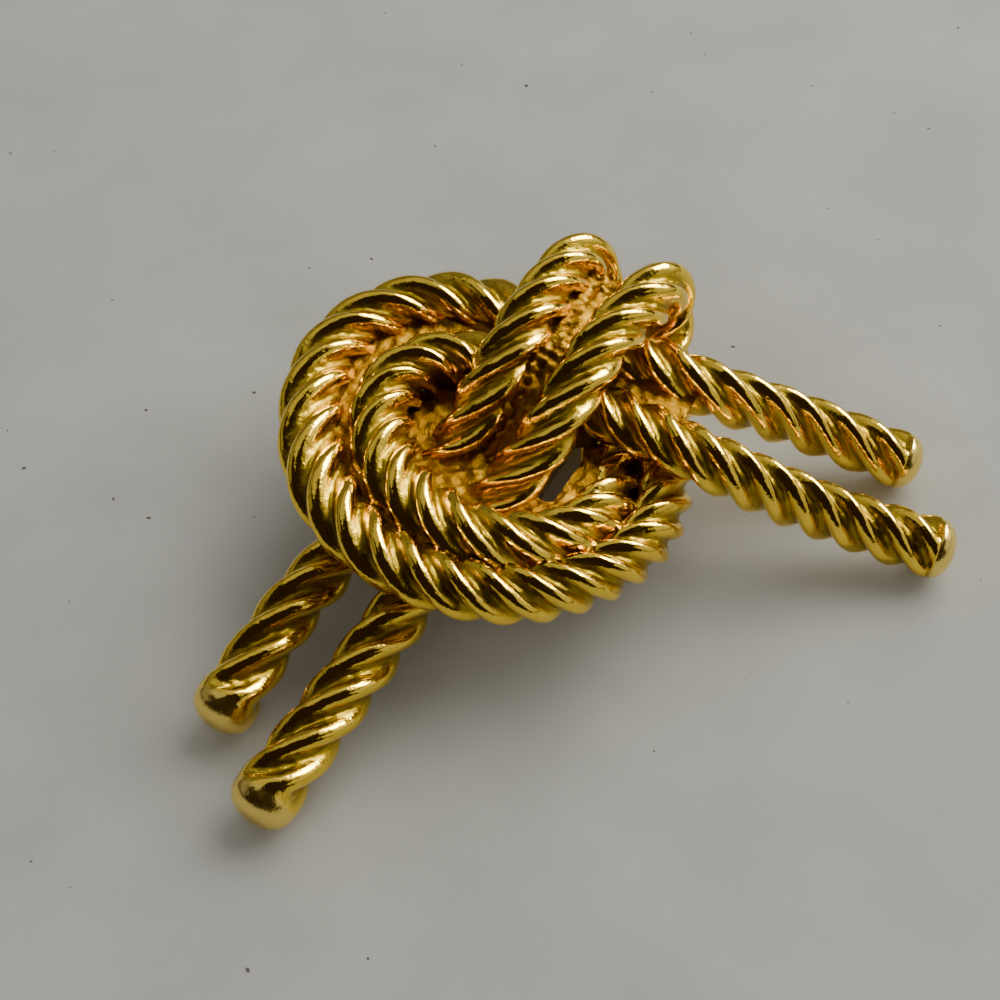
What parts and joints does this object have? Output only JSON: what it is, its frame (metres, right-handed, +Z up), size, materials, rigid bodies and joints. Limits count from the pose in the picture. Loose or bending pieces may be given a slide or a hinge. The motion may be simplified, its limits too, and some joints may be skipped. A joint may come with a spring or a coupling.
{
  "type": "knot brooch",
  "caption": "Brooch cast as a doubled twisted rope tied in an overhand knot, with splayed domed ends and a plain pin back that fastens it to cloth.",
  "frame": {"origin": "middle of the box's base, on the surface that the brooch lies on, front up", "axes": "+X to the right along the brooch's length, +Y away from its lower edge, +Z up out of its front"},
  "size_m": [0.0606, 0.0511, 0.0187],
  "materials": {
    "rope_gold": "polished yellow gold plate over cast metal",
    "pin_gold": "plain gold plate"
  },
  "bodies": {
    "root": {"knot": "rope_gold", "pin_back": "pin_gold"}
  },
  "joints": []
}
